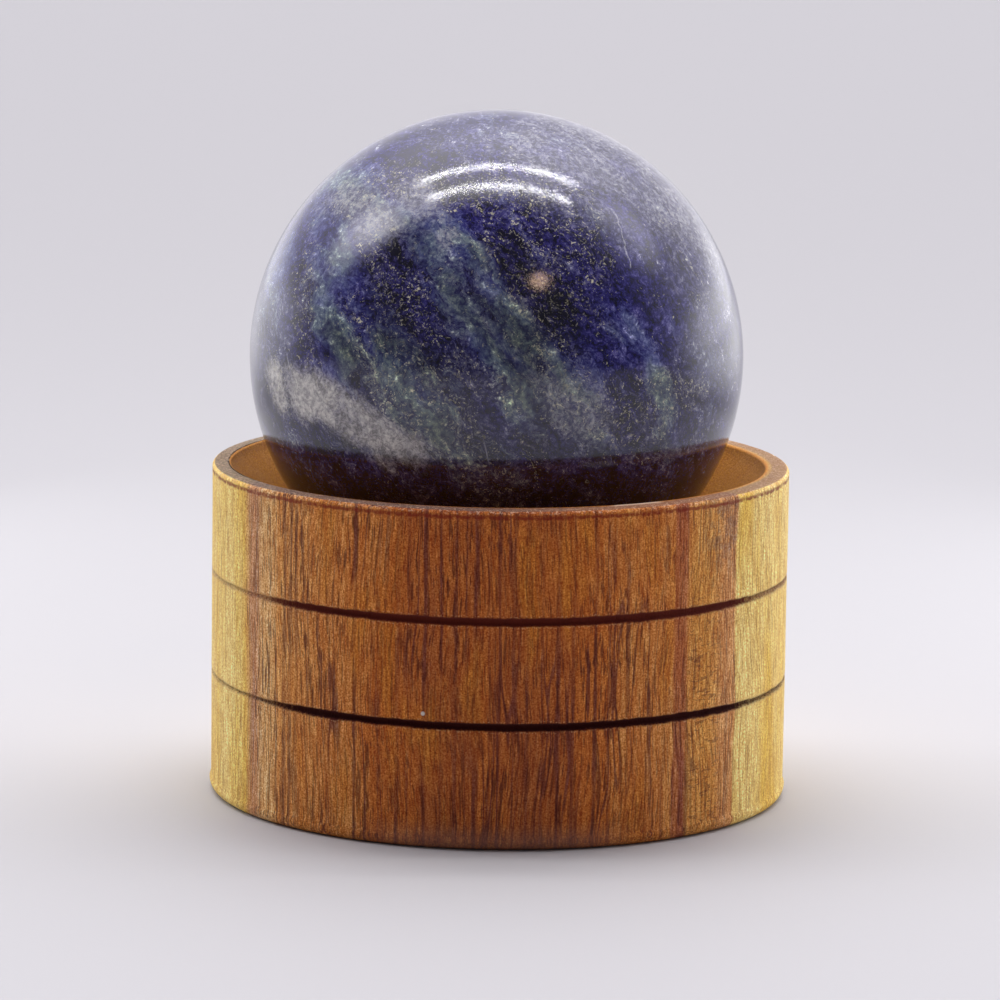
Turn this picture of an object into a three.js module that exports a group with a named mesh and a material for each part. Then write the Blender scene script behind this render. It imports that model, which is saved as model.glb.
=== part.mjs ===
// A polished stone ball resting in a turned hardwood stand.
// Millimetres, +Z up. The origin is the centre of the stand's flat underside.
import * as THREE from 'three';

// ---- driving dimensions -------------------------------------------------
const BALL_RADIUS = 25;            // a 50 mm ball
const BALL_SINK = 14.14;           // how far the ball's lowest point lies below the rim
const REST_GAP = 0.25;             // clearance kept between the ball and the cup

const STAND_HEIGHT = 33.6;
const RIM_RADIUS = 29.3;           // outer radius from the rim down to the lower groove
const FOOT_RADIUS = 29.45;         // the lowest band flares very slightly
const OUTER_EDGE = 1;              // rounding of the rim's and the foot's outer edges
const RIM_INNER_RADIUS = 27.35;    // where the flat rim meets the cup's eased edge
const CUP_EDGE = 0.3;              // rounding of the cup's edge
const BALL_SHIFT = 0.6;            // the ball lies a little further that way than the cup
const CUP_SHIFT = 0.3;             // the cup was turned this far off the axis, towards -X

const GROOVE_HEIGHTS = [12.3, 22.7];   // centres of the two burned-in grooves
const GROOVE_WIDTH = 0.9;
const GROOVE_DEPTH = 0.6;

const BALL_SIDES = 60;
const BALL_RINGS = 32;
const STAND_SIDES = 72;
const CUP_STEPS = 10;
const EDGE_STEPS = 3;
const GROOVE_STEPS = 4;

// ---- worked-out places --------------------------------------------------
const BALL_HEIGHT = STAND_HEIGHT - BALL_SINK + BALL_RADIUS;
const CUP_DEPTH = BALL_SINK + REST_GAP;
const CUP_MOUTH = RIM_INNER_RADIUS - CUP_EDGE;
const CUP_FALL = CUP_DEPTH - CUP_EDGE;
// the radius of the arc that runs from the cup's mouth down to its lowest point
const CUP_RADIUS = (CUP_MOUTH ** 2 + CUP_FALL ** 2) / (2 * CUP_FALL);

// ---- profiles -----------------------------------------------------------
// Points on an arc in the profile's plane, angles in radians, both ends included.
function arc(centreR, centreZ, radius, from, to, steps) {
  const points = [];
  for (let i = 0; i <= steps; i += 1) {
    const angle = from + ((to - from) * i) / steps;
    const r = centreR + radius * Math.cos(angle);
    const z = centreZ + radius * Math.sin(angle);
    points.push(new THREE.Vector2(r, z));
  }
  return points;
}

// A rounded groove across the wall, from its lower lip to its upper one.
function groove(height) {
  const points = [];
  for (let i = 0; i <= GROOVE_STEPS; i += 1) {
    const angle = (Math.PI * i) / GROOVE_STEPS;
    const r = RIM_RADIUS - GROOVE_DEPTH * Math.sin(angle);
    const z = height - (GROOVE_WIDTH / 2) * Math.cos(angle);
    points.push(new THREE.Vector2(r, z));
  }
  return points;
}

// The stand's outside, from the centre of its underside to the inner edge of its rim.
function outsideProfile() {
  const foot = arc(FOOT_RADIUS - OUTER_EDGE, OUTER_EDGE, OUTER_EDGE, -Math.PI / 2, 0, EDGE_STEPS);
  const rimCentre = STAND_HEIGHT - OUTER_EDGE;
  const rim = arc(RIM_RADIUS - OUTER_EDGE, rimCentre, OUTER_EDGE, 0, Math.PI / 2, EDGE_STEPS);
  return [new THREE.Vector2(0, 0), ...foot, ...GROOVE_HEIGHTS.flatMap(groove), ...rim];
}

// The cup, from the rim's flat down to its lowest point on its own axis.
function cupProfile() {
  const edgeCentre = STAND_HEIGHT - CUP_EDGE;
  const edge = arc(RIM_INNER_RADIUS, edgeCentre, CUP_EDGE, Math.PI / 2, Math.PI, EDGE_STEPS);
  const lowest = STAND_HEIGHT - CUP_DEPTH;
  const mouthAngle = -Math.acos(CUP_MOUTH / CUP_RADIUS);
  const bowl = arc(0, lowest + CUP_RADIUS, CUP_RADIUS, mouthAngle, -Math.PI / 2, CUP_STEPS);
  bowl.shift();
  bowl[bowl.length - 1].x = 0;
  return [...edge, ...bowl];
}

// ---- pieces -------------------------------------------------------------
function makeBall() {
  const geometry = new THREE.SphereGeometry(BALL_RADIUS, BALL_SIDES, BALL_RINGS);
  geometry.rotateX(Math.PI / 2);
  const stone = new THREE.MeshStandardMaterial({
    color: 0x2b3163, roughness: 0.12, metalness: 0,
  });
  const ball = new THREE.Mesh(geometry, stone);
  ball.name = 'sphere';
  ball.position.set(-BALL_SHIFT, 0, BALL_HEIGHT);
  return ball;
}

function makeStand() {
  const outside = outsideProfile();
  const profile = [...outside, ...cupProfile()];
  const geometry = new THREE.LatheGeometry(profile, STAND_SIDES);
  const places = geometry.attributes.position;
  for (let i = 0; i < places.count; i += 1) {
    const inCup = i % profile.length >= outside.length;
    if (inCup) places.setX(i, places.getX(i) - CUP_SHIFT);
  }
  geometry.rotateX(Math.PI / 2);
  const wood = new THREE.MeshStandardMaterial({
    color: 0xa4642c, roughness: 0.55, metalness: 0,
  });
  const stand = new THREE.Mesh(geometry, wood);
  stand.name = 'stand';
  return stand;
}

const group = new THREE.Group();
group.add(makeStand(), makeBall());

export default group;
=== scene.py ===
"""A polished lapis lazuli ball resting in a turned hardwood stand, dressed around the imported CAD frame."""
import math

import bmesh
import bpy
import numpy as np
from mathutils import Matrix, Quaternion, Vector, noise


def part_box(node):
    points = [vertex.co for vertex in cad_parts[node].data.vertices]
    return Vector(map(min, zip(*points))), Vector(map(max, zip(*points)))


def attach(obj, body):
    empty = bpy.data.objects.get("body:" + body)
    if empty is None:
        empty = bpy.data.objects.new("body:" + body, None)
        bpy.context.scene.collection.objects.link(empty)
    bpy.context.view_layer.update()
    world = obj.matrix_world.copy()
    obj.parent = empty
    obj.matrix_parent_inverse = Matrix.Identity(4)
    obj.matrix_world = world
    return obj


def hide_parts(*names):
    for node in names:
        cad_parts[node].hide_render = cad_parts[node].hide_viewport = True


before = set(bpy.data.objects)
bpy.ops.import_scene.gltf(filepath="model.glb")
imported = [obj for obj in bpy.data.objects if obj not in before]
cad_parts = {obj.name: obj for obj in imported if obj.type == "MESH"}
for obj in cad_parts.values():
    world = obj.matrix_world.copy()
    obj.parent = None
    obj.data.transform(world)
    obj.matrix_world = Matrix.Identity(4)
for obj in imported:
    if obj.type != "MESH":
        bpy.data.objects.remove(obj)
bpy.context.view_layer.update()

MM = 0.001
SEED = 5
noise.seed_set(SEED)                  # the vector noises draw their own shifts from it

# ---- places read from the frame ------------------------------------------
BALL_LOW, BALL_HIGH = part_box("sphere")
BALL_CENTRE = (BALL_LOW + BALL_HIGH) / 2
BALL_RADIUS = (BALL_HIGH.z - BALL_LOW.z) / 2
STAND_LOW, STAND_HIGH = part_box("stand")
FOOT_RADIUS = (STAND_HIGH.x - STAND_LOW.x) / 2 / MM
STAND_HEIGHT = (STAND_HIGH.z - STAND_LOW.z) / MM

# ---- the stand's other sizes, in millimetres, as in the CAD ---------------
RIM_RADIUS = FOOT_RADIUS - 0.15
FOOT_EDGE = 1.0                       # rounding of the foot's outer edge
RIM_INNER_RADIUS = 27.35
CUP_EDGE = 0.3                        # rounding of the cup's edge
CUP_SHIFT = -0.3                      # the cup was turned off the stand's axis
REST_GAP = 0.25                       # between the ball and the cup
CUP_DEPTH = STAND_HEIGHT - BALL_LOW.z / MM + REST_GAP
GROOVE_DEPTH = 0.6

# ---- sizes that are finer here than in the CAD, in millimetres ------------
RIM_EDGE = 0.5                        # rounding of the rim's outer edge
GROOVE_HALF = 0.38                    # half a groove's height, before it is made ragged
GROOVES = ((12.3, 0.82, 1.0), (22.7, 0.9, 0.7))     # height up the wall, shares of the half and of the depth
GROOVE_REACH = 0.95                   # this near to a groove, the wall's points lie close together
CLOSE_STEP = 0.09
WIDE_STEP = 0.46
TURNS = 576                           # points around the stand

# ---- studio, in metres and degrees ----------------------------------------
STRIPS = (("strip_front", 90.4), ("strip_back", 103.1))          # angle up from the front
STRIP_DISTANCE = 0.3
STRIP_SIZE = (0.275, 0.0022)
STRIP_POWER = 0.24
STRIP_LAMPS = 30
PANELS = (("panel_left", -50, 0.9), ("panel_right", 56, 1.6))    # angle from straight behind, radiance
PANEL_DISTANCE = 0.17
PANEL_HEIGHT = 0.05
PANEL_SIZE = (0.26, 0.10)
FLOOR_SIZE = 8
FLOOR_DROP = 0.00002                  # keeps the floor's face off the stand's
CAMERA_TARGET = (-0.00005, 0, 0.02971)
CAMERA_LIFT = 9.68
CAMERA_ROLL = 0.78
CAMERA_DISTANCE = 0.55
CAMERA_LENS = 194.5                   # millimetres, on a sensor 36 wide


# ---- node helpers ----------------------------------------------------------
class Tree:
    """Short calls that build one node tree. Values may be sockets or numbers."""

    def __init__(self, owner):
        owner.use_nodes = True
        self.tree = owner.node_tree
        self.tree.nodes.clear()

    def add(self, kind, out=0, settings=None, **inputs):
        """A new node's output. Inputs are given by name, or by number after an underscore."""
        node = self.tree.nodes.new(kind)
        for key, value in (settings or {}).items():
            setattr(node, key, value)
        for key, value in inputs.items():
            self.put(node.inputs[int(key[1:])] if key[0] == "_" else node.inputs[key], value)
        return node.outputs[out]

    def put(self, socket, value):
        """Leads a socket's value into another, or sets it to a number, a vector or a colour."""
        if isinstance(value, bpy.types.NodeSocket):
            self.tree.links.new(value, socket)
        elif isinstance(value, (tuple, list, Vector)) and socket.type == "RGBA":
            socket.default_value = (*value[:3], 1.0)
        else:
            socket.default_value = value

    def math(self, operation, a, b=0.0, c=0.0):
        return self.add("ShaderNodeMath", settings={"operation": operation}, _0=a, _1=b, _2=c)

    def plus(self, *terms):
        return self.chain("ADD", terms)

    def times(self, *factors):
        return self.chain("MULTIPLY", factors)

    def highest(self, *values):
        return self.chain("MAXIMUM", values)

    def chain(self, operation, values):
        result = values[0]
        for value in values[1:]:
            result = self.math(operation, result, value)
        return result

    def apart(self, a, b):
        """How far two values lie from each other."""
        return self.math("ABSOLUTE", self.math("SUBTRACT", a, b))

    def vector(self, operation, a, b=(0, 0, 0), out=0):
        return self.add("ShaderNodeVectorMath", out, {"operation": operation}, _0=a, _1=b)

    def split(self, vector):
        node = self.tree.nodes.new("ShaderNodeSeparateXYZ")
        self.put(node.inputs[0], vector)
        return tuple(node.outputs)

    def stretch(self, vector, scale, turn=(0, 0, 0), move=(0, 0, 0)):
        return self.add("ShaderNodeMapping", Vector=vector, Scale=scale, Rotation=turn, Location=move)

    def frame(self, vector, axes):
        """The vector's reach along three axes, each as long as its scale."""
        reach = [self.vector("DOT_PRODUCT", vector, tuple(axis), out=1) for axis in axes]
        return self.add("ShaderNodeCombineXYZ", X=reach[0], Y=reach[1], Z=reach[2])

    def noise(self, vector, scale=1.0, detail=3.0, roughness=0.55, distortion=0.0, out=0):
        return self.add("ShaderNodeTexNoise", out, Vector=vector, Scale=scale, Detail=detail,
                        Roughness=roughness, Distortion=distortion)

    def centred(self, vector, scale, detail, roughness, reach):
        """A noise vector between -reach / 2 and reach / 2, to push other patterns about with."""
        wild = self.noise(vector, scale, detail, roughness, out=1)
        return self.vector("MULTIPLY", self.vector("SUBTRACT", wild, (0.5,) * 3), (reach,) * 3)

    def ramp(self, value, low, high, to_low=0.0, to_high=1.0, kind="SMOOTHSTEP"):
        """From to_low to to_high while the value goes from low to high, which may be the smaller."""
        node = self.tree.nodes.new("ShaderNodeMapRange")
        node.interpolation_type = kind
        for key, item in (("Value", value), ("From Min", low), ("From Max", high),
                          ("To Min", to_low), ("To Max", to_high)):
            self.put(node.inputs[key], item)
        return node.outputs["Result"]

    def linear(self, value, low, high, to_low=0.0, to_high=1.0):
        return self.ramp(value, low, high, to_low, to_high, "LINEAR")

    def mix(self, factor, a, b, blend="MIX"):
        settings = {"data_type": "RGBA", "blend_type": blend}
        return self.add("ShaderNodeMix", 2, settings, _0=factor, _6=a, _7=b)

    def gradient(self, value, stops):
        """The colour at a value, between stops that each have a place and a screen colour."""
        colour = self.add("ShaderNodeValToRGB", Fac=value)
        elements = colour.node.color_ramp.elements
        elements.remove(elements[1])
        for index, (place, shade) in enumerate(stops):
            element = elements[0] if index == 0 else elements.new(place)
            element.position = place
            element.color = (*srgb(*shade), 1)
        return colour

    def attribute(self, name, out=2):
        return self.add("ShaderNodeAttribute", out, {"attribute_name": name})

    def bump(self, height, strength, distance):
        return self.add("ShaderNodeBump", Height=height, Strength=strength, Distance=distance)

    def end(self, kind, shader):
        """Leads a shader to the tree's output."""
        output = self.tree.nodes.new(kind)
        self.put(output.inputs["Surface"], shader)

    def surface(self, inputs):
        """Ends a material's tree in one shader with these inputs."""
        shader = self.tree.nodes.new("ShaderNodeBsdfPrincipled")
        for name, value in inputs.items():
            self.put(shader.inputs[name], value)
        self.end("ShaderNodeOutputMaterial", shader.outputs[0])


def srgb(red, green, blue):
    """A colour given as 0..255 screen values, as the linear values a shader takes."""
    def linear(value):
        value /= 255
        return value / 12.92 if value <= 0.04045 else ((value + 0.055) / 1.055) ** 2.4
    return tuple(linear(v) for v in (red, green, blue))


# ---- lapis ------------------------------------------------------------------
# The stone's clouds of each kind: longitude, latitude, half length, half width and slope, all in
# degrees. A slope of 40 runs down to the right. Behind, where nothing is known, the kinds go on in
# the same slanting bands.
CLOUDS = {
    "teal": (
        (-41, 17, 14, 7, 52), (-21, 37, 9, 5, 50), (-3, 20, 16, 6, 62), (13, 2, 14, 7, 48),
        (-60, 44, 14, 8, 30), (-23, 4, 20, 6, 46), (40, 0, 12, 3, 70), (32, 12, 6, 4, 60),
        (-72, 22, 8, 6, 60), (150, 22, 20, 7, 40), (-112, 12, 18, 6, 45), (205, 48, 16, 6, 30),
    ),
    "grey": (
        (-35, -8, 14, 5, 22), (-49, -4, 7, 4, 12), (-61, -5, 4, 3, 60), (196, -6, 10, 4, 28),
    ),
    "veil": (
        (-16, 36, 3, 2, 40), (68, 46, 34, 9, 52), (95, 62, 30, 14, 20), (-48, 42, 12, 5, 20),
        (18, -3, 8, 4, 45), (-30, 47, 7, 4, 30), (178, 42, 20, 7, 30), (-132, -8, 14, 5, 30),
    ),
    "blue": (
        (-9, 44, 12, 6, 55), (6, 33, 9, 7, 55), (-28, 23, 13, 7, 50), (22, 14, 16, 8, 55),
        (37, 17, 9, 10, 62), (-66, 30, 10, 9, 40), (-46, 5, 11, 4, 35), (24, 30, 8, 5, 60),
        (8, 60, 12, 4, 10), (-40, 52, 12, 5, 20), (22, 50, 12, 3, 25), (-150, 35, 16, 8, 40),
    ),
    "dark": (
        (-35, 6, 8, 3, 45), (-24, 14, 10, 4, 45), (3, 10, 16, 5, 50), (-28, 34, 9, 4, 45),
        # the three wide flat dark clouds low in front, at latitudes -36 to -38, are painted shade and painted
        # reflection of the wood under the ball in its cup; the other dark clouds are dark stone
        (8, 24, 10, 4, 50), (-24, 55, 10, 3, 15), (0, -38, 60, 20, 0), (-60, -36, 40, 18, 0),
        (60, -36, 40, 18, 0), (216, 15, 14, 6, 50), (140, -2, 14, 5, 45),
    ),
    "gold": (
        (-15, -3, 20, 7, 48), (20, -4, 16, 6, 30), (42, -3, 5, 9, 90), (1, 43, 14, 4, 30),
        (-61, -5, 5, 3, 60), (-32, 32, 20, 5, 45), (15, 32, 14, 9, 55), (-52, 14, 14, 3, 60),
        (-20, 17, 18, 4, 48), (5, 26, 14, 5, 50), (-10, 50, 20, 4, 15), (165, 5, 18, 6, 45),
        (118, 20, 16, 5, 50), (-120, 30, 16, 5, 40),
    ),
}

# The stone's layers fall to the right: long along them, short across.
LAYERS = (Vector((0.64, 0.1, -0.77)) * 0.6, Vector((0.1, 1, 0.1)) * 0.9, Vector((0.77, 0.0, 0.64)) * 1.6)

# From the stone's darkest parts to its lightest.
STONE_SHADES = (
    (0.0, (13, 11, 28)), (0.22, (25, 21, 64)), (0.42, (47, 44, 96)), (0.62, (82, 81, 120)),
    (0.82, (128, 127, 152)), (1.0, (255, 255, 255)),
)


def on_ball(longitude, latitude):
    """The direction from the ball's centre; longitude 0 faces the front and grows to the right."""
    lon, lat = math.radians(longitude), math.radians(latitude)
    return Vector((math.sin(lon) * math.cos(lat), -math.cos(lon) * math.cos(lat), math.sin(lat)))


def cloud_values(clouds, directions):
    """For points on the ball, 1 in the middle of the soft ovals, falling to 0 at twice their size."""
    best = np.zeros(len(directions))
    for longitude, latitude, length, width, slope in clouds:
        centre = on_ball(longitude, latitude)
        east = Vector((-centre.y, centre.x, 0)).normalized()
        north = centre.cross(east)
        turn = math.radians(slope)
        along = east * math.cos(turn) - north * math.sin(turn)
        across = east * math.sin(turn) + north * math.cos(turn)
        offset = directions - np.array(centre)
        away = (offset @ np.array(along) / math.radians(length)) ** 2
        away += (offset @ np.array(across) / math.radians(width)) ** 2
        away += (offset @ np.array(centre) / 0.35) ** 2          # nothing on the ball's other side
        best = np.maximum(best, np.clip(1.6 - np.sqrt(away) * 0.8, 0, 1))
    return best


class Stone(Tree):
    """The stone's node tree, with the patterns that its layers share."""

    def __init__(self, owner):
        super().__init__(owner)
        coords = self.add("ShaderNodeTexCoord", 3)
        self.place = self.vector("MULTIPLY", coords, (1 / BALL_RADIUS,) * 3)      # in ball radii
        frayed = self.vector("ADD", self.place, self.centred(self.place, 5, 4, 0.7, 0.16))
        self.bedding = self.frame(frayed, LAYERS)
        self.drawn = self.vector("MULTIPLY", self.bedding, (1.5, 1, 0.75))        # much less stretched
        self.coarse = self.linear(self.noise(self.bedding, 12, 5, 0.85), 0.35, 0.65, -0.5, 0.5)
        self.fine = self.linear(self.noise(self.drawn, 68, 3, 0.8), 0.3, 0.7, -0.5, 0.5)
        self.dabs = self.linear(self.noise(self.place, 38, 2, 0.6), 0.3, 0.7, -0.5, 0.5)
        self.teal = self.mask("teal", 5, 3.1, -0.12, 0.55)
        self.grey = self.mask("grey", 7, 9.4, -0.18, 0.48, 0.26, 0.25)
        self.veil = self.mask("veil", 5, 1.3, -0.25, 0.60, 0.40, 0.4)
        self.blue = self.mask("blue", 6, 17.7, 0.05, 0.50)
        # dark stone, and painted shade low on the ball's front
        self.dark = self.mask("dark", 6, 25.2, -0.05, 0.50)
        self.gold = self.mask("gold", 7, 33.8, 0.0, 0.55)

    def mask(self, kind, scale, offset, common, edge, reach=0.55, frays=0.3):
        """Where one kind of stone shows: mostly in its clouds, and wherever its own noise is high."""
        moved = self.vector("ADD", self.bedding, (offset, -offset, offset * 0.7))
        wild = self.linear(self.noise(moved, scale, 3, 0.65), 0.34, 0.66, -reach, reach)
        total = self.plus(wild, common, self.attribute(kind))
        total = self.math("MULTIPLY_ADD", self.fine, frays, total)
        return self.ramp(total, 0.5 - edge, 0.5 + edge)

    def line(self, place, start, end, width):
        """1 along the thin great-circle line between two (longitude, latitude) places, 0 elsewhere."""
        first, last = on_ball(*start), on_ball(*end)
        side = first.cross(last).normalized()
        middle = (first + last).normalized()
        off = self.math("ABSOLUTE", self.vector("DOT_PRODUCT", place, tuple(side), out=1))
        near = self.vector("DOT_PRODUCT", place, tuple(middle), out=1)
        reach = middle.dot(first)
        return self.times(self.ramp(off, width, width * 0.3), self.ramp(near, reach, reach + 0.004))


def blue_stone(s):
    """The blue body of the stone, lighter and darker, tinted wherever another kind shows."""
    tone = s.math("MULTIPLY_ADD", s.coarse, 0.56, 0.42)
    tone = s.math("MULTIPLY_ADD", s.fine, s.ramp(s.teal, 0, 1, 0.58, 0.36), tone)
    tone = s.math("MULTIPLY_ADD", s.dabs, 0.38, tone)
    # the dark kind darkens the tone here and browns the colour below; low in front that is painted shade and
    # painted reflection of the cup, elsewhere dark stone
    for kind, change in ((s.teal, 0.37), (s.blue, -0.12), (s.dark, -0.17)):
        tone = s.math("MULTIPLY_ADD", kind, change, tone)
    # the teal stone is calmer than the blue
    calm = s.ramp(s.teal, 0, 1, 1, 0.68)
    tone = s.math("MULTIPLY_ADD", s.math("SUBTRACT", tone, 0.5), calm, 0.5)
    colour = s.gradient(tone, STONE_SHADES)
    greened = s.times(s.teal, s.ramp(tone, 1.0, 0.6, 0.6, 1))
    tints = (
        (greened, (0.88, 1.18, 0.91)), (s.blue, (0.84, 0.76, 1.34)), (s.dark, (0.9, 0.86, 0.72)),
        (s.times(s.gold, 0.8), (1.10, 1.12, 0.80)),
    )
    for share, tint in tints:
        colour = s.mix(share, colour, tint, "MULTIPLY")
    return colour


def add_calcite(s, colour):
    """Pale calcite: a soft lilac-grey veil, and smooth grey patches."""
    cloudy = s.plus(s.times(s.coarse, 0.6), s.dabs, s.times(s.fine, 0.8))
    lilac = s.mix(s.ramp(cloudy, -0.5, 0.5), srgb(86, 85, 116), srgb(158, 158, 162))
    colour = s.mix(s.times(s.veil, s.ramp(s.fine, -0.4, 0.4, 0.35, 0.9)), colour, lilac)
    calcite = s.mix(s.ramp(cloudy, -0.6, 0.6), srgb(156, 152, 152), srgb(214, 210, 204))
    return s.mix(s.times(s.grey, s.ramp(s.fine, -0.4, 0.2, 0.8, 1.0)), colour, calcite)


def add_pyrite(s, colour):
    """Fine pale gold flecks, closest together in the gold bands."""
    layers = []
    for scale, sparse, dense, shift in ((58, 0.68, 0.58, 0.0), (104, 0.68, 0.57, 5.3)):
        moved = s.vector("ADD", s.drawn, (shift,) * 3)
        least = s.linear(s.gold, 0, 1, sparse, dense)
        layers.append(s.ramp(s.noise(moved, scale, 2, 0.5), least, s.plus(least, 0.07)))
    dotted = s.ramp(s.noise(s.place, 150, 1, 0.5), 0.42, 0.54)
    in_dark = s.linear(s.dark, 0, 1, 0.85, 0.45)
    in_grey = s.linear(s.grey, 0, 1, 1, 0.5)
    flecks = s.times(s.highest(*layers), dotted, in_dark, in_grey, s.ramp(s.dabs, -0.4, 0.3, 0.45, 1))
    bright = s.ramp(s.noise(s.drawn, 40, 1, 0.5), 0.35, 0.65)
    return s.mix(flecks, colour, s.mix(bright, srgb(130, 126, 106), srgb(232, 226, 190)))


def add_scratches(s, colour):
    """A healed crack and two scratches; gives the colour and how deep they go."""
    bent = s.vector("ADD", s.place, s.centred(s.place, 7, 4, 0.6, 0.09))
    crack = s.line(bent, (38, 42), (35, 25), 0.005)
    crack = s.times(crack, s.ramp(s.fine, -0.3, 0.2, 0.1, 0.7))
    scratches = s.highest(s.line(s.place, (-3, -9), (-1, -18), 0.0035),
                          s.line(s.place, (-57, 6), (-52.5, -3), 0.005))
    colour = s.mix(crack, colour, srgb(190, 188, 200))
    colour = s.mix(s.times(scratches, 0.6), colour, srgb(170, 168, 184))
    return colour, s.plus(crack, scratches)


def make_lapis():
    material = bpy.data.materials.new("lapis_lazuli")
    s = Stone(material)
    colour, depth = add_scratches(s, add_pyrite(s, add_calcite(s, blue_stone(s))))
    height = s.math("SUBTRACT", s.times(s.fine, 0.8), depth)
    s.surface({
        "Base Color": colour,
        "Roughness": s.ramp(s.fine, -0.4, 0.4, 0.04, 0.09),
        "Normal": s.bump(height, 0.12, 0.00003),
        "IOR": 1.58,
    })
    return material


def make_ball():
    """A ball with slight polishing waves, which only ever go inwards."""
    mesh = bpy.data.meshes.new("lapis_ball")
    work = bmesh.new()
    bmesh.ops.create_icosphere(work, subdivisions=7, radius=BALL_RADIUS)
    directions = []
    for vertex in work.verts:
        direction = vertex.co.normalized()
        wave = noise.noise(direction * 3.1) * 0.012 + noise.noise(direction * 9.0) * 0.004
        vertex.co = direction * (BALL_RADIUS + min(0.0, wave - 0.012) * MM)
        directions.append(direction + noise.noise_vector(direction * 3.4) * 0.07)
    work.to_mesh(mesh)
    work.free()
    mesh.shade_smooth()
    for kind, clouds in CLOUDS.items():
        layer = mesh.attributes.new(kind, "FLOAT", "POINT")
        layer.data.foreach_set("value", cloud_values(clouds, np.array(directions)))
    ball = bpy.data.objects.new("lapis_ball", mesh)
    ball.location = BALL_CENTRE
    bpy.context.collection.objects.link(ball)
    mesh.materials.append(make_lapis())
    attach(ball, "root")
    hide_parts("sphere")


# ---- stand --------------------------------------------------------------------
def arc(centre_r, centre_z, radius, start, end, steps):
    """Points (r, z) along an arc between two angles in degrees, both ends included."""
    angles = np.radians(np.linspace(start, end, steps))
    return [(centre_r + radius * math.cos(a), centre_z + radius * math.sin(a)) for a in angles]


def wall_heights():
    """Heights up the wall above the foot's edge, close together around the grooves."""
    heights, z = [], FOOT_EDGE
    while z < STAND_HEIGHT - RIM_EDGE - 0.2:
        heights.append(z)
        near = min(abs(z - groove) for groove, _, _ in GROOVES)
        z += CLOSE_STEP if near < GROOVE_REACH else WIDE_STEP
    return heights[1:]


def stand_profile():
    """Points (r, z, part) from under the foot, up the wall, over the rim and down into the cup."""
    cup_mouth = RIM_INNER_RADIUS - CUP_EDGE
    cup_fall = CUP_DEPTH - CUP_EDGE
    cup_radius = (cup_mouth ** 2 + cup_fall ** 2) / (2 * cup_fall)
    lowest = STAND_HEIGHT - CUP_DEPTH
    mouth = -math.degrees(math.acos(cup_mouth / cup_radius))
    points = [(r, 0.0, "under") for r in (7.0, 14.0, 21.0, 26.0)]
    points += [(*p, "foot") for p in arc(FOOT_RADIUS - FOOT_EDGE, FOOT_EDGE, FOOT_EDGE, -90, 0, 8)]
    points += [(RIM_RADIUS, z, "wall") for z in wall_heights()]
    points += [(*p, "rim") for p in arc(RIM_RADIUS - RIM_EDGE, STAND_HEIGHT - RIM_EDGE, RIM_EDGE, 0, 90, 8)]
    points += [(r, STAND_HEIGHT, "rim") for r in (28.5, 28.2, 27.9, 27.6)]
    points += [(*p, "cup") for p in arc(RIM_INNER_RADIUS, STAND_HEIGHT - CUP_EDGE, CUP_EDGE, 90, 180, 5)]
    points += [(*p, "cup") for p in arc(0, lowest + cup_radius, cup_radius, mouth, -89, 26)[1:]]
    return points, lowest


def smooth(value, low, high):
    """0 below low, 1 above high and a smooth step between, for low above high as well."""
    part = min(1.0, max(0.0, (value - low) / (high - low)))
    return part * part * (3 - 2 * part)


def groove_cut(z, angle):
    """How deep the grooves cut the wall at a height and an angle, and how scorched it is, from 0 to 1."""
    x, y = math.cos(angle), math.sin(angle)
    side = math.degrees(math.atan2(x, -y))               # 0 in front, growing to the right
    firm = 1 - 0.5 * smooth(side, -36, -58) - 0.35 * smooth(side, 48, 62)
    deepest, scorch = 0.0, 0.0
    for index, (groove, width, depth) in enumerate(GROOVES):
        ring = Vector((x, y, index * 3.7))
        wander = noise.noise(ring * 1.3) * 0.10 + noise.noise(ring * 16) * 0.05
        ragged = 1 + 0.2 * noise.noise(ring * 3.0) + 0.25 * noise.noise(ring * 30)
        half = GROOVE_HALF * firm * ragged * width
        across = abs(z - groove - wander)
        if across < half:
            deepest = max(deepest, math.sqrt(1 - (across / half) ** 2) * firm ** 1.5 * depth)
        scorch = max(scorch, smooth(across, half + 0.32, half * 0.6) * firm)
    return deepest, scorch


def stand_point(r, z, part, angle):
    """One point of the stand's surface, in millimetres, and how scorched it is."""
    x, y = math.cos(angle), math.sin(angle)
    burn, shift = 0.0, 0.0
    if part == "wall":
        cut, burn = groove_cut(z, angle)
        fibre = noise.noise(Vector((x * 40, y * 40, z * 0.12)))
        r -= GROOVE_DEPTH * cut + 0.03 * (fibre + 0.5) * (1 - cut)
    elif part == "rim":
        nick = max(0.0, noise.noise(Vector((x * 22, y * 22, z * 2))) - 0.35)
        r -= 0.25 * nick
        z -= 0.2 * nick
    elif part == "cup":
        shift = CUP_SHIFT
    return Vector((r * x + shift, r * y, z)), burn


def swayed(spot):
    """Where a point lies in a log whose grain sways a little."""
    sway = noise.turbulence_vector(Vector((spot.x, spot.y, spot.z * 0.8)) * 0.05, 3, False)
    return (spot.x + sway.x * 1.1, spot.y + sway.y * 1.1, spot.z)


def stand_faces(rows):
    """Quads between rows of points, and a fan of triangles that closes either end."""
    faces = []
    turns = [(i, (i + 1) % TURNS) for i in range(TURNS)]
    for low in range(0, (rows - 1) * TURNS, TURNS):
        high = low + TURNS
        faces += [(low + i, low + j, high + j, high + i) for i, j in turns]
    last, under, bottom = (rows - 1) * TURNS, rows * TURNS, rows * TURNS + 1
    for i, j in turns:
        faces.append((under, j, i))
        faces.append((last + i, last + j, bottom))
    return faces


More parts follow.
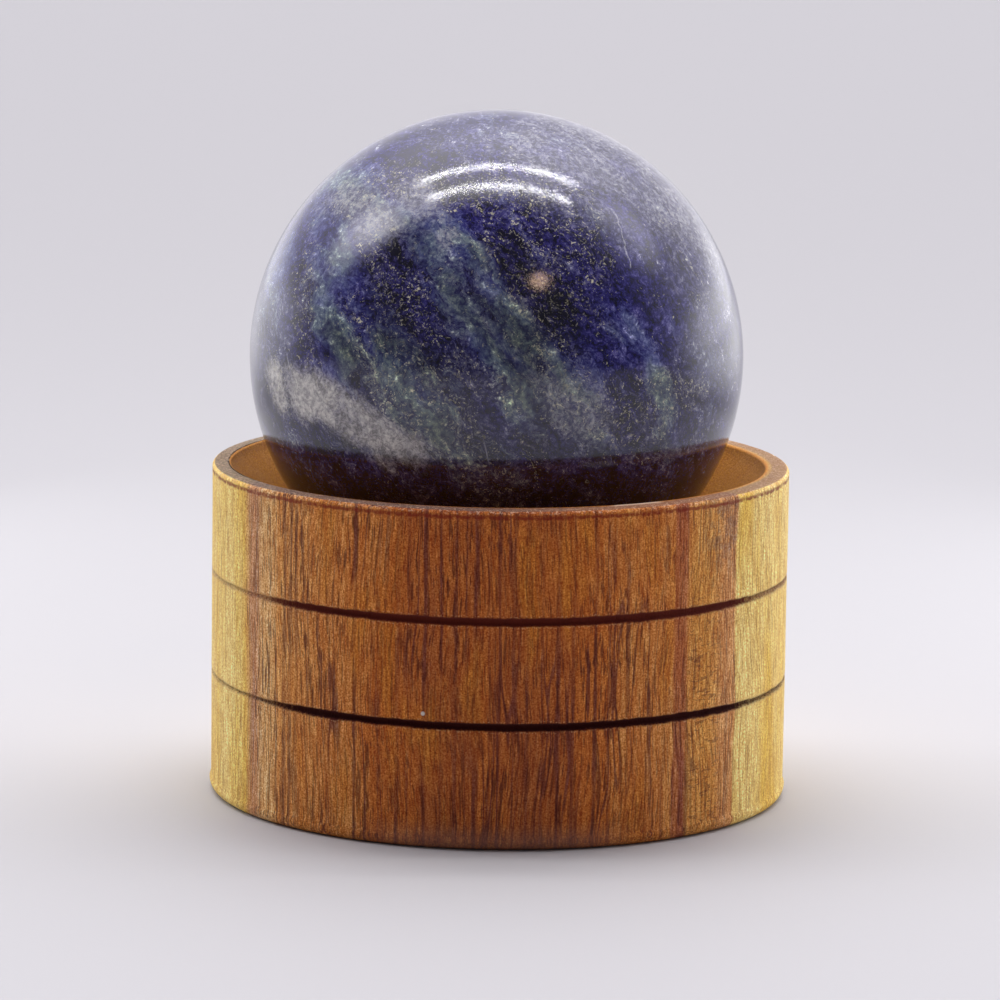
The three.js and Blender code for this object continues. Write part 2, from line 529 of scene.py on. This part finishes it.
def make_stand():
    profile, lowest = stand_profile()
    spots, burns, rims, cups = [], [], [], []
    for r, z, part in profile:
        for turn in range(TURNS):
            spot, burn = stand_point(r, z, part, 2 * math.pi * turn / TURNS)
            spots.append(spot)
            burns.append(burn)
            rims.append(1.0 if part == "rim" and r < RIM_RADIUS - 0.25 else 0.0)
            cups.append(1.0 if part == "cup" else 0.0)
    grains = [value for spot in spots for value in swayed(spot)]
    # the middle of the underside and of the cup
    for middle, in_cup in (((0, 0, 0), 0), ((CUP_SHIFT, 0, lowest), 1)):
        spots.append(Vector(middle))
        grains += middle
        burns.append(0)
        rims.append(0)
        cups.append(in_cup)
    mesh = bpy.data.meshes.new("wooden_stand")
    mesh.from_pydata([spot * MM for spot in spots], [], stand_faces(len(profile)))
    for name, values in (("burn", burns), ("rim", rims), ("cup", cups)):
        layer = mesh.attributes.new(name, "FLOAT", "POINT")
        layer.data.foreach_set("value", values)
    layer = mesh.attributes.new("grain", "FLOAT_VECTOR", "POINT")
    layer.data.foreach_set("vector", grains)
    mesh.shade_smooth()
    stand = bpy.data.objects.new("wooden_stand", mesh)
    bpy.context.collection.objects.link(stand)
    mesh.materials.append(make_wood())
    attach(stand, "root")
    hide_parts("stand")


# ---- wood, in millimetres -----------------------------------------------------
PITH = (-2.4, -40.0, 0)               # the middle of the log, in front of the stand

# Dark streaks in the front of the stand: how far right of the middle, half width, strength.
STREAKS = (
    (-21.1, 0.2, 0.6), (-20.5, 0.16, 0.7), (-19.9, 0.2, 0.6), (-18.7, 0.1, 0.5), (-16.6, 0.1, 0.4),
    (-14.0, 0.17, 0.9), (-11.6, 0.1, 0.5), (-9.8, 0.2, 0.8), (-8.8, 0.13, 0.6), (-7.1, 0.2, 0.8),
    (-5.6, 0.15, 0.8), (-4.2, 0.17, 0.7), (-3.1, 0.1, 0.6), (-2.2, 0.22, 0.8), (-0.9, 0.12, 0.6),
    (0.1, 0.17, 0.8), (1.5, 0.12, 0.6), (2.8, 0.16, 0.8), (4.3, 0.11, 0.6), (5.8, 0.2, 0.8),
    (7.3, 0.16, 0.7), (9.4, 0.18, 0.8), (10.8, 0.1, 0.5), (12.6, 0.14, 0.6), (14.6, 0.1, 0.5),
    (16.2, 0.12, 0.6), (20.6, 0.12, 0.5), (22.6, 0.14, 0.5),
)


class Wood(Tree):
    """The wood's node tree, with the places and the grain that its layers share."""

    def __init__(self, owner):
        super().__init__(owner)
        coords = self.add("ShaderNodeTexCoord", 3)
        self.place = self.vector("MULTIPLY", coords, (1 / MM,) * 3)
        self.along = self.attribute("grain", 1)       # the same, swaying as the log's grain does
        self.x, self.y, self.up = self.split(self.place)
        self.front = self.ramp(self.y, -4, -10)
        self.left = self.ramp(self.x, 1, 0)

        self.broad = self.grain(2.2, 22)
        self.patch = self.grain(1.8, 9, 2, 0.5, (9, 3, 5))
        self.streak = self.grain(0.34, 7, 4, 0.7)
        self.fibre = self.grain(0.13, 1.6, 3, 0.75)
        self.dust = self.noise(self.place, 5.6, 2, 0.7)
        self.bent = self.math("MULTIPLY_ADD", self.streak, 0.9, self.math("SUBTRACT", self.x, 0.45))

        # heartwood lies within a radius of the pith; its right edge leans in towards the foot
        flat = self.vector("MULTIPLY", self.vector("SUBTRACT", self.along, PITH), (1, 1, 0))
        self.ring = self.vector("LENGTH", flat, out=1)
        self.edge = self.math("MULTIPLY_ADD", self.grain(0.5, 6), 0.8, self.ring)
        lean = self.linear(self.up, 8, 26, 0.7, 0)
        outer = self.ramp(self.left, 0, 1, self.math("SUBTRACT", 34.9, lean), 35.0)
        inner = self.ramp(self.left, 0, 1, self.math("SUBTRACT", 34.4, lean), 33.0)
        self.heart = self.ramp(self.edge, outer, inner)

    def grain(self, width, length, detail=3, roughness=0.6, move=(0, 0, 0)):
        """Noise in upright streaks of a width and a length."""
        scale = (0.5 / width, 0.5 / width, 0.5 / length)
        return self.noise(self.stretch(self.along, scale, move=move), 1, detail, roughness)

    def dashes(self, width, length, chance):
        """Short upright dashes, each in a cell of its own."""
        cells = self.tree.nodes.new("ShaderNodeTexVoronoi")
        self.put(cells.inputs["Vector"], self.stretch(self.along, (1 / width, 1 / width, 1 / length)))
        self.put(cells.inputs["Scale"], 1)
        pick = self.add("ShaderNodeSeparateColor", Color=cells.outputs["Color"])
        kept = self.math("GREATER_THAN", pick, 1 - chance)
        return self.times(kept, self.ramp(cells.outputs["Distance"], 0.34, 0.14))


def heartwood_tones(w):
    """The heartwood's own colour, lighter further from the pith, in broad and narrow bands."""
    depth = w.plus(
        w.linear(w.ring, 10.5, 34, 0.25, 1.0), w.ramp(w.x, -8, -19, 0, 0.14), w.ramp(w.up, 10, 26, 0, 0.04),
        w.linear(w.broad, 0.3, 0.7, -0.17, 0.17), w.linear(w.streak, 0.3, 0.7, 0.13, -0.13),
    )
    colour = w.gradient(depth, ((0.0, (150, 76, 40)), (0.5, (197, 107, 38)), (1.0, (228, 157, 80))))
    return w.mix(w.ramp(w.patch, 0.55, 0.68, 0, 0.6), colour, srgb(206, 122, 34))


def add_lines(w, colour):
    """Thin dark lines all through the heartwood, and the streaks of its front."""
    thin = w.apart(w.grain(1.3, 26, 2, 0.5, (4, 8, 1)), 0.5)
    lines = w.times(w.ramp(thin, 0.022, 0.005), w.ramp(w.patch, 0.4, 0.6, 0.8, 0.2))
    streaks = []
    for middle, half, strength in STREAKS:
        streaks.append(w.ramp(w.apart(w.bent, middle), half * 1.5, half * 0.3, 0, strength))
    planted = w.times(w.highest(*streaks), w.front, w.ramp(w.patch, 0.42, 0.62, 1, 0.3))
    return w.mix(w.times(w.highest(lines, planted), 0.9), colour, srgb(88, 30, 36))


def add_figure(w, colour):
    """In front on the right: a flat red-brown band, then curly figure, with a grey stain at the top."""
    red = w.ramp(w.apart(w.bent, 17.8), 0.8, 0.5, 0, 0.6)
    colour = w.mix(w.times(red, w.front), colour, srgb(164, 80, 50))
    figured = w.times(w.ramp(w.x, 18.2, 19.0), w.ramp(w.x, 22.6, 21.4), w.front)
    colour = w.mix(w.times(figured, 0.45), colour, srgb(222, 156, 66))
    waves = w.noise(w.stretch(w.along, (0.9, 0.9, 2.6), turn=(0, 0.5, 0)), 1, 3, 0.65, 0.6)
    curl = w.times(w.ramp(waves, 0.54, 0.62), figured, w.ramp(w.up, 27, 21))
    colour = w.mix(w.times(curl, 0.6), colour, srgb(112, 48, 22))
    smudge = w.ramp(w.noise(w.place, 0.9, 3, 0.7), 0.4, 0.6)
    stain = w.times(w.ramp(w.x, 19.6, 21.4), w.front, w.ramp(w.up, 24, 30), smudge)
    return w.mix(w.times(stain, 0.55), colour, srgb(108, 84, 72))


def add_margins(w, colour):
    """The heartwood's outer margin, dusky pink and stronger on the left, and a golden zone near it."""
    margin = w.times(w.ramp(w.edge, 30.6, 32.4), w.heart, w.ramp(w.left, 0, 1, 0.25, 0.65))
    colour = w.mix(margin, colour, srgb(202, 146, 106))
    golden = w.times(w.ramp(w.apart(w.bent, -22.9), 1.2, 0.5, 0, 0.6), w.front)
    return w.mix(golden, colour, srgb(236, 188, 120))


def sapwood_tones(w):
    colour = w.mix(w.ramp(w.broad, 0.35, 0.65), srgb(242, 194, 78), srgb(251, 217, 128))
    return w.mix(w.ramp(w.streak, 0.5, 0.7, 0, 0.4), colour, srgb(204, 150, 74))


def add_pores(w, colour):
    """Short reddish pores; gives the colour and where the pores are."""
    small = w.ramp(w.grain(0.12, 2.2, 2, 0.5, (3, 1, 8)), 0.55, 0.63)
    large = w.times(w.dashes(0.24, 3.4, 0.45), 0.9)
    pores = w.times(w.highest(small, large), w.ramp(w.patch, 0.35, 0.6, 1, 0.6))
    shade = w.mix(w.heart, srgb(170, 108, 48), srgb(88, 30, 16))
    return w.mix(w.times(pores, w.ramp(w.heart, 0, 1, 0.5, 0.75)), colour, shade), pores


def shade_fibres(w, colour):
    """Light and dark fibres and a sanded fuzz; the dark ones are redder and the pale ones greyer."""
    light = w.times(w.linear(w.fibre, 0.3, 0.7, 0.5, 1.55), w.linear(w.dust, 0.3, 0.7, 0.42, 1.62))
    light = w.math("MULTIPLY_ADD", w.math("SUBTRACT", light, 1), w.ramp(w.heart, 0, 1, 0.75, 1), 1)
    powers = {"Red": 0.6, "Green": 1.15, "Blue": 1.9}
    shares = {name: w.math("POWER", light, power) for name, power in powers.items()}
    return w.mix(1.0, colour, w.add("ShaderNodeCombineColor", **shares), "MULTIPLY")


def add_lint(w, colour):
    """A speck of white lint above the lower groove."""
    away = w.vector("DISTANCE", w.place, (-7.3, -28.5, 13.4), out=1)
    return w.mix(w.ramp(away, 0.3, 0.18), colour, srgb(226, 216, 206))


def scorch_grooves(w, colour):
    """Charred grooves, blackest in the lower one, with pale fuzz on their lips; gives the char as well."""
    burn = w.attribute("burn")
    ragged = w.plus(burn, w.linear(w.fibre, 0.3, 0.7, -0.25, 0.25))
    scorch = w.times(w.ramp(ragged, 0.15, 0.9), w.ramp(burn, 0.0, 0.15))
    colour = w.mix(scorch, colour, w.mix(w.ramp(w.up, 16, 19), srgb(62, 18, 14), srgb(96, 34, 22)))
    lips = w.times(w.ramp(burn, 0.0, 0.1), w.ramp(burn, 0.6, 0.3), w.ramp(w.dust, 0.53, 0.62))
    return w.mix(w.times(lips, 0.6), colour, srgb(214, 160, 112)), scorch


def dress_top(w, colour):
    """The oiled cup, the dull rim, and between the rim and the wall a dark red-brown line with pale fuzz
    above it.
    """
    cup = w.attribute("cup")
    oiled = w.mix(w.ramp(w.dust, 0.3, 0.7), srgb(192, 104, 4), srgb(222, 144, 12))
    colour = w.mix(w.times(cup, 0.9), colour, oiled)
    dull = w.mix(w.ramp(w.x, -12, 20), srgb(92, 76, 72), srgb(138, 92, 66))
    colour = w.mix(w.times(w.attribute("rim"), 0.85), colour, dull)

    outside = w.ramp(cup, 0.2, 0.0)
    wobble = w.noise(w.place, 1.1, 4, 0.7)
    # a dark red-brown line just under the rim's edge, wavering in height and strength
    off = w.apart(w.math("MULTIPLY_ADD", wobble, 0.7, w.up), STAND_HEIGHT - 0.3)
    dark_rim_line = w.times(w.ramp(off, 0.3, 0.06), outside, w.ramp(wobble, 0.35, 0.55, 0.35, 0.85))
    colour = w.mix(dark_rim_line, colour, srgb(132, 38, 14))
    top = w.ramp(w.up, STAND_HEIGHT - 0.5, STAND_HEIGHT - 0.15)
    fuzz = w.times(w.ramp(w.noise(w.place, 2.8, 3, 0.8), 0.53, 0.62), top, outside)
    return w.mix(w.times(fuzz, 0.65), colour, srgb(226, 188, 160))


def add_rim_streak_and_foot_reflection(w, colour):
    """A pale streak along the rim's inner edge, in front on the right, and a painted reflection greying the
    foot's front near the floor.
    """
    inner = w.vector("LENGTH", w.vector("MULTIPLY", w.place, (1, 1, 0)), out=1)
    # a pale streak along the rim's inner edge, in front on the right
    stretch = w.times(w.ramp(w.x, 10.4, 11.6), w.ramp(w.x, 16.2, 14.8), w.front)
    top = w.ramp(w.up, STAND_HEIGHT - 0.5, STAND_HEIGHT - 0.2)
    pale_streak = w.times(w.ramp(inner, 27.9, 27.6), stretch, top)
    colour = w.mix(w.times(pale_streak, 0.8), colour, srgb(232, 204, 178))
    # painted reflection and shade: the front of the foot fades to grey towards the floor, standing in for the
    # floor's reflection there
    middle = w.ramp(w.math("ABSOLUTE", w.x), 16, 8)
    foot = w.times(w.ramp(w.up, 3.2, 0.4, 0, 0.4), w.front, middle)
    return w.mix(foot, colour, srgb(150, 118, 104))


def make_wood():
    """Heartwood and sapwood of one log, its grain upright, sanded and lightly oiled."""
    material = bpy.data.materials.new("turned_hardwood")
    w = Wood(material)
    heartwood = add_margins(w, add_figure(w, add_lines(w, heartwood_tones(w))))
    colour, pores = add_pores(w, w.mix(w.heart, sapwood_tones(w), heartwood))
    colour, scorch = scorch_grooves(w, add_lint(w, shade_fibres(w, colour)))
    colour = add_rim_streak_and_foot_reflection(w, dress_top(w, colour))
    height = w.math("SUBTRACT", w.math("MULTIPLY_ADD", w.dust, 0.7, w.fibre), w.times(pores, 1.5))
    w.surface({
        "Base Color": colour,
        "Roughness": w.highest(w.ramp(w.fibre, 0.3, 0.7, 0.5, 0.66), w.ramp(scorch, 0, 1, 0, 0.9)),
        "Normal": w.bump(height, 0.6, 0.00012),
        "Specular IOR Level": 0.2,
    })
    return material


# ---- studio ------------------------------------------------------------------
def make_floor():
    bpy.ops.mesh.primitive_plane_add(size=FLOOR_SIZE, location=(0, 0, -FLOOR_DROP))
    floor = bpy.context.object
    floor.name = "floor"
    material = bpy.data.materials.new("pale_floor")
    Tree(material).surface({"Base Color": (0.46, 0.455, 0.465), "Roughness": 0.7})
    floor.data.materials.append(material)


def make_world():
    """A white light tent behind and around the object, open and dim towards the camera."""
    world = bpy.data.worlds.new("light_tent")
    bpy.context.scene.world = world
    t = Tree(world)
    direction = t.add("ShaderNodeTexCoord", 0)
    x, y, z = t.split(direction)
    # the tent's open edge is sharp overhead and soft at the sides
    right = t.ramp(x, -0.1, 0.8)
    sides = t.ramp(z, 0.75, 0.35, 0.02, 0.5)
    tent = t.ramp(y, t.ramp(right, 0, 1, -0.18, -0.45), t.ramp(right, 0, 1, sides, 0.5))
    # brightest overhead, to the right and in its two upper corners
    glow = t.plus(t.ramp(z, 0.4, 0.95, 1.0, 2.9), t.ramp(x, 0, 0.7, 0, 0.35))
    for corner in (-1.2, 1.05):
        toward = Vector((corner, 0.12, 1.0)).normalized()
        near = t.vector("DOT_PRODUCT", direction, tuple(toward), out=1)
        glow = t.plus(glow, t.ramp(near, 0.95, 0.995, 0, 2.8))
    colour = t.mix(tent, (0.14, 0.14, 0.155), (1, 0.98, 1.04))
    colour = t.mix(tent, colour, t.add("ShaderNodeCombineColor", Red=glow, Green=glow, Blue=glow), "MULTIPLY")
    # one small warm lamp in front
    lamp = t.vector("DOT_PRODUCT", direction, tuple(Vector((0.31, -0.67, 0.67)).normalized()), out=1)
    colour = t.mix(t.ramp(lamp, 0.9972, 0.9990), colour, (9.0, 6.0, 4.3))
    t.end("ShaderNodeOutputWorld", t.add("ShaderNodeBackground", Color=colour))


def add_area(name, place, size, power, target):
    data = bpy.data.lights.new(name, "AREA")
    data.shape = "RECTANGLE"
    data.size, data.size_y = size
    data.energy = power
    light = bpy.data.objects.new(name, data)
    light.location = place
    light.rotation_mode = "QUATERNION"
    light.rotation_quaternion = (target - place).to_track_quat("-Z", "Y")
    bpy.context.collection.objects.link(light)
    return light


def make_lights():
    """Two thin lamp strips in the tent's roof and a low white panel on each side, behind the object."""
    for name, angle in STRIPS:
        lift = math.radians(angle)
        place = BALL_CENTRE + STRIP_DISTANCE * Vector((0, -math.cos(lift), math.sin(lift)))
        strip = add_area(name, place, STRIP_SIZE, STRIP_POWER, BALL_CENTRE)
        bead(strip.data)
    width, height = PANEL_SIZE
    for name, azimuth, radiance in PANELS:
        turn = math.radians(azimuth)
        place = Vector((PANEL_DISTANCE * math.sin(turn), PANEL_DISTANCE * math.cos(turn), PANEL_HEIGHT))
        power = radiance * math.pi * width * height
        panel = add_area(name, place, PANEL_SIZE, power, Vector((0, 0, PANEL_HEIGHT)))
        panel.visible_camera = False
        soften(panel.data)


def face_of(t):
    """The place on a light's face, each way from 0 to 1."""
    return t.split(t.add("ShaderNodeNewGeometry", "Parametric"))[:2]


def bead(light):
    """Breaks a strip up into a row of small lamps."""
    t = Tree(light)
    across, _ = face_of(t)
    wave = t.math("SINE", t.times(across, 2 * math.pi * STRIP_LAMPS))
    t.end("ShaderNodeOutputLight", t.add("ShaderNodeEmission", Strength=t.ramp(wave, -0.6, 0.7, 0.2, 1.6)))


def soften(light):
    """Lets a panel fade out towards its edges."""
    t = Tree(light)
    across, upright = face_of(t)
    fade = t.times(t.ramp(t.apart(across, 0.5), 0.5, 0.1), t.ramp(t.apart(upright, 0.5), 0.5, 0.15))
    t.end("ShaderNodeOutputLight", t.add("ShaderNodeEmission", Strength=fade))


def make_camera():
    """Looks slightly down from the front, as a long lens would from half a metre."""
    lift = math.radians(CAMERA_LIFT)
    back = Vector((0, -math.cos(lift), math.sin(lift)))
    roll = Quaternion((0, 0, 1), math.radians(CAMERA_ROLL))
    data = bpy.data.cameras.new("camera")
    data.sensor_width = 36
    data.lens = CAMERA_LENS
    camera = bpy.data.objects.new("camera", data)
    camera.location = Vector(CAMERA_TARGET) + back * CAMERA_DISTANCE
    camera.rotation_mode = "QUATERNION"
    camera.rotation_quaternion = (-back).to_track_quat("-Z", "Y") @ roll
    bpy.context.collection.objects.link(camera)
    bpy.context.scene.camera = camera


make_camera()
make_world()
make_lights()
make_floor()
make_ball()
make_stand()
bpy.context.scene.view_settings.view_transform = "Standard"
